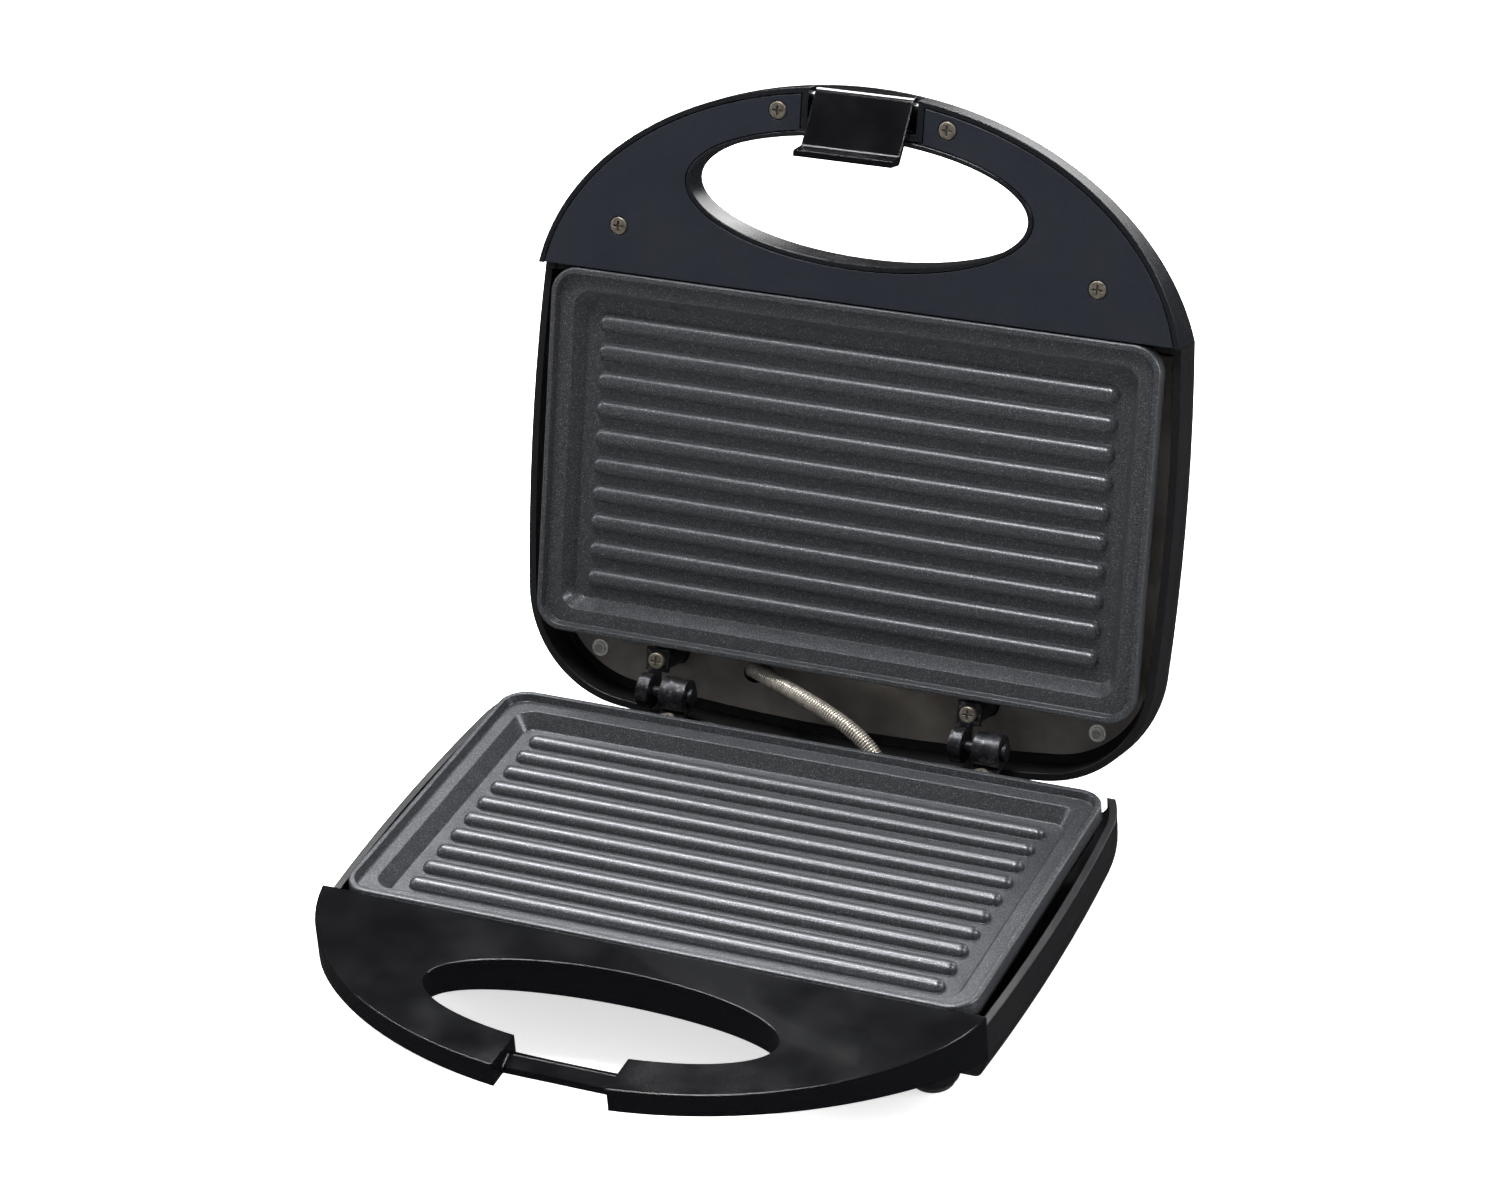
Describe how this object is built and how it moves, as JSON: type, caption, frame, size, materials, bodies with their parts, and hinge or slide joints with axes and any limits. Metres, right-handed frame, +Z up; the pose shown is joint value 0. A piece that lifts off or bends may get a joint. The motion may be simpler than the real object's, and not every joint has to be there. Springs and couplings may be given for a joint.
{
  "type": "panini press",
  "caption": "Open contact grill with ribbed plates in a hinged base and lid, half-moon carrying handles with oval finger holes, and a swinging latch that holds the lid shut.",
  "frame": {"origin": "on the table under the middle of the open press's bounding box", "axes": "+Z up, +X to the right as seen from the handles, +Y towards the hinges; the handles point to -Y"},
  "size_m": [0.2324, 0.2924, 0.2432],
  "materials": {
    "casing": "satin black moulding, heat resistant",
    "gloss_handle": "polished black moulding",
    "handle_rim": "semi-gloss black moulding",
    "slate_cover": "fine satin charcoal",
    "nonstick": "dark grey non-stick coating on cast aluminium",
    "element": "steel sheathed heating element",
    "reflector": "mill finish sheet, a little browned by heat",
    "steel": "zinc plated steel",
    "ceramic": "off-white heat-resistant moulding",
    "lead_sleeve": "woven glass-fibre sleeve",
    "gland_rubber": "black rubber",
    "sheath_metal": "closely wound warm silver wire",
    "cover_metal": "brushed sheet steel",
    "red_lens": "clear red moulding",
    "green_lens": "clear green moulding",
    "lamp_glass": "small glass lamp",
    "gloss_latch": "polished black moulding",
    "foot_rubber": "soft black rubber",
    "hinge_metal": "dark plated steel, worn bright on its edges"
  },
  "bodies": {
    "base": {"base_handle": "gloss_handle", "base_handle_cover": "casing", "base_handle_screws": "steel", "base_handle_tongue_screws": "steel", "base_leads": "lead_sleeve", "base_shell": "casing", "cord_gland": "gland_rubber", "flexible_sheath": "sheath_metal", "foot_front_left": "foot_rubber", "foot_front_right": "foot_rubber", "foot_rear_left": "foot_rubber", "foot_rear_right": "foot_rubber", "hinge_bracket_base_left": "hinge_metal", "hinge_bracket_base_right": "hinge_metal", "hinge_pin_left": "steel", "hinge_pin_right": "steel", "hinge_screws_base": "steel", "lower_heating_element": "element", "lower_plate": "nonstick", "lower_plate_screws": "steel", "lower_reflector": "reflector", "lower_thermostat": "steel", "sheath_clamp_base": "casing", "terminal_block": "ceramic", "thermal_fuse": "ceramic"},
    "lid": {"cover_push_nuts": "steel", "hinge_bracket_lid_left": "hinge_metal", "hinge_bracket_lid_right": "hinge_metal", "hinge_screws_lid": "steel", "indicator_lamps": "lamp_glass", "indicator_lens_power": "red_lens", "indicator_lens_ready": "green_lens", "lamp_holder": "ceramic", "latch_pin": "steel", "lid_cover": "cover_metal", "lid_frame": "casing", "lid_handle": "handle_rim", "lid_handle_cover": "slate_cover", "lid_handle_screws": "steel", "lid_handle_tongue_screws": "steel", "lid_leads": "lead_sleeve", "sheath_clamp_lid": "casing", "upper_heating_element": "element", "upper_plate": "nonstick", "upper_plate_screws": "steel", "upper_reflector": "reflector", "upper_thermostat": "steel"},
    "latch": {"latch": "gloss_latch"}
  },
  "joints": [
    {"name": "lid_hinge", "type": "hinge", "parent": "base", "child": "lid", "pos_m": [0, 0.06675, 0.04092], "axis": [1, 0, 0], "range_deg": [0, 107.4], "deforming": ["flexible_sheath"]},
    {"name": "latch_pivot", "type": "hinge", "parent": "lid", "child": "latch", "pos_m": [0, 0.13577, 0.23947], "axis": [-1, 0, 0], "range_deg": [0, 100]}
  ]
}
